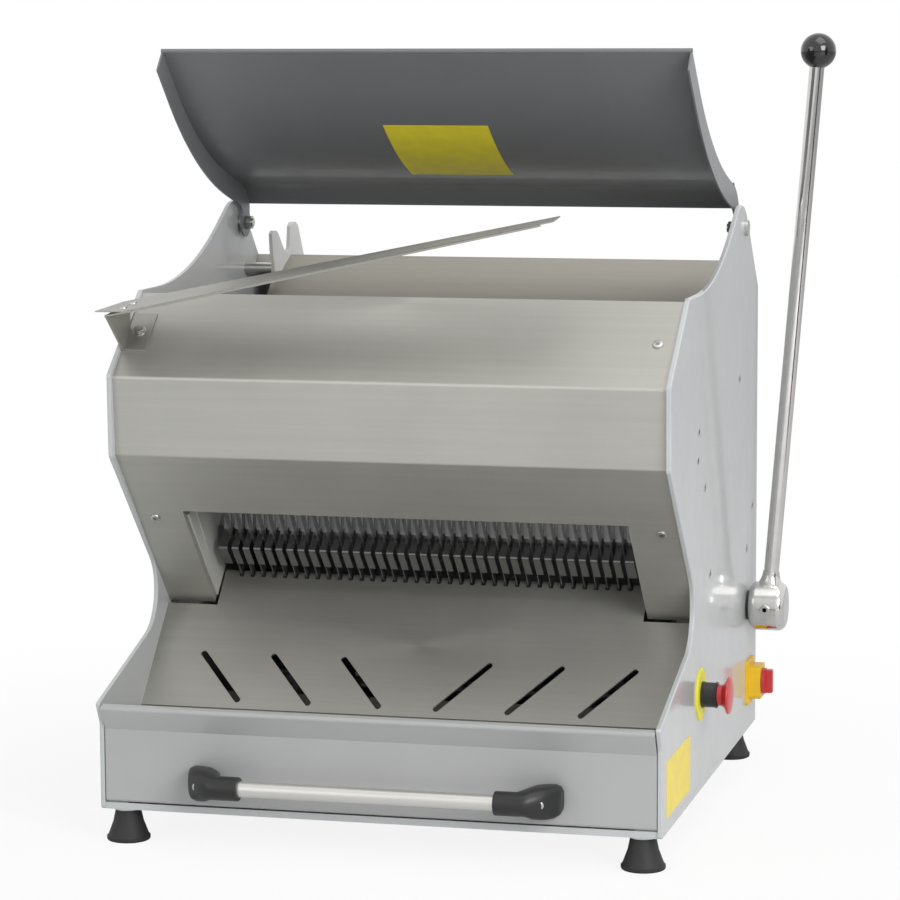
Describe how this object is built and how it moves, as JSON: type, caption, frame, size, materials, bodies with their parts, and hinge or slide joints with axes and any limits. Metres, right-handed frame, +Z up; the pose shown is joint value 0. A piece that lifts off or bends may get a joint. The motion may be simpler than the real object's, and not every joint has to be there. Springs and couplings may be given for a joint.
{
  "type": "bread slicer machine",
  "caption": "Worktop bread slicer: a lever-driven pusher feeds a loaf down a chute through reciprocating blades and out over a slide, with a lid and crumb drawer.",
  "frame": {"origin": "on the worktop, midway between the side plates, under their front bottom edge", "axes": "+X across to the lever side, +Y to the back, +Z up"},
  "size_m": [0.7, 0.658, 0.8386],
  "materials": {
    "plate_grey": "light grey enamel, semi-gloss",
    "hood_steel": "brushed stainless",
    "bright_steel": "bright stainless",
    "lid_grey": "dark grey enamel",
    "guide_grey": "light grey enamel",
    "mill_steel": "mill finish",
    "blade_steel": "ground",
    "chrome": "polished chrome",
    "zinc": "zinc plated",
    "aluminium_tube": "satin anodised",
    "cast_alloy": "as cast",
    "black_plastic": "moulded",
    "black_knob": "polished",
    "white_plastic": "moulded",
    "red_plastic": "moulded",
    "yellow_plastic": "moulded",
    "rubber": "black",
    "belt_rubber": "black",
    "motor_enamel": "dark grey enamel"
  },
  "bodies": {
    "frame": {"left_side_plate": "plate_grey", "right_side_plate": "plate_grey", "hood": "hood_steel", "hood_screws": "zinc", "outfeed_slide": "hood_steel", "chute_floor": "hood_steel", "lower_comb": "bright_steel", "guide_plates": "guide_grey", "frame_guides": "white_plastic", "crank_stands": "cast_alloy", "drive_belt": "belt_rubber", "motor": "motor_enamel", "motor_cradle": "mill_steel", "shaft_bushes": "black_plastic", "lid_bolts": "zinc", "drawer_runners": "mill_steel", "base_pan": "plate_grey", "rear_cover": "plate_grey", "tie_bars": "zinc", "cable_gland": "black_plastic", "feet": "rubber", "foot_washers": "zinc", "stop_ring": "yellow_plastic", "stop_barrel": "black_plastic", "switch_box": "yellow_plastic", "scoop": "bright_steel", "scoop_bracket": "hood_steel", "fork_plate": "guide_grey", "fork_spacer": "zinc", "lid_buffer": "rubber", "plate_screws": "zinc"},
    "lid": {"lid": "lid_grey"},
    "lever": {"pusher_arms": "mill_steel", "pusher_bolts": "zinc", "pusher_tube": "bright_steel", "pusher_rake": "bright_steel", "pusher_shaft": "mill_steel", "lever_hub": "chrome", "lever_rod": "chrome", "lever_ball": "black_knob", "hub_set_screw": "zinc"},
    "drawer": {"drawer_front": "plate_grey", "crumb_tray": "hood_steel", "pull_tube": "aluminium_tube", "pull_brackets": "black_plastic"},
    "front_frame": {"front_blade_frame": "mill_steel", "front_blades": "blade_steel"},
    "rear_frame": {"rear_blade_frame": "mill_steel", "rear_blades": "blade_steel"},
    "crank": {"crankshaft": "mill_steel", "crank_pulley": "cast_alloy"},
    "front_rods": {"front_rods": "cast_alloy"},
    "rear_rods": {"rear_rods": "cast_alloy"},
    "motor_rotor": {"motor_shaft": "mill_steel", "motor_pulley": "cast_alloy"},
    "hold_down": {"hold_down_comb": "mill_steel", "hold_down_rod": "mill_steel"},
    "stop_button": {"stop_button": "red_plastic"},
    "switch_knob": {"switch_knob": "red_plastic"}
  },
  "joints": [
    {"name": "lid_hinge", "type": "hinge", "parent": "frame", "child": "lid", "pos_m": [0, 0.495, 0.621], "axis": [1, 0, 0], "range_deg": [0, 43.2]},
    {"name": "lever_swing", "type": "hinge", "parent": "frame", "child": "lever", "pos_m": [0, 0.53, 0.184], "axis": [1, 0, 0], "range_deg": [0, 45]},
    {"name": "drawer_slide", "type": "slide", "parent": "frame", "child": "drawer", "axis": [0, -1, 0], "range_m": [0, 0.25]},
    {"name": "front_frame_stroke", "type": "slide", "parent": "frame", "child": "front_frame", "axis": [0, -0.6293, 0.7771], "range_m": [-0.016, 0]},
    {"name": "rear_frame_stroke", "type": "slide", "parent": "frame", "child": "rear_frame", "axis": [0, -0.6293, 0.7771], "range_m": [0, 0.016]},
    {"name": "crank_spin", "type": "hinge", "parent": "frame", "child": "crank", "pos_m": [0, 0.36665, 0.10374], "axis": [1, 0, 0], "continuous": true},
    {"name": "front_rod_turn", "type": "hinge", "parent": "crank", "child": "front_rods", "pos_m": [0, 0.36162, 0.10996], "axis": [1, 0, 0], "continuous": true},
    {"name": "rear_rod_turn", "type": "hinge", "parent": "crank", "child": "rear_rods", "pos_m": [0, 0.37169, 0.09753], "axis": [1, 0, 0], "continuous": true},
    {"name": "motor_spin", "type": "hinge", "parent": "frame", "child": "motor_rotor", "pos_m": [0, 0.481, 0.101], "axis": [1, 0, 0], "continuous": true},
    {"name": "hold_down_swing", "type": "hinge", "parent": "frame", "child": "hold_down", "pos_m": [0, 0.165, 0.42], "axis": [1, 0, 0], "range_deg": [-35, 0]},
    {"name": "stop_push", "type": "slide", "parent": "frame", "child": "stop_button", "axis": [-1, 0, 0], "range_m": [0, 0.004], "stiffness_N_per_m": 1500},
    {"name": "switch_turn", "type": "hinge", "parent": "frame", "child": "switch_knob", "pos_m": [0.32, 0.54, 0.094], "axis": [1, 0, 0], "range_deg": [0, 90]}
  ],
  "couplings": [
    {"joint": "rear_frame_stroke", "follows": "front_frame_stroke", "ratio": -1},
    {"joint": "front_rod_turn", "follows": "crank_spin", "ratio": -1},
    {"joint": "rear_rod_turn", "follows": "crank_spin", "ratio": -1},
    {"joint": "motor_spin", "follows": "crank_spin", "ratio": 2}
  ]
}
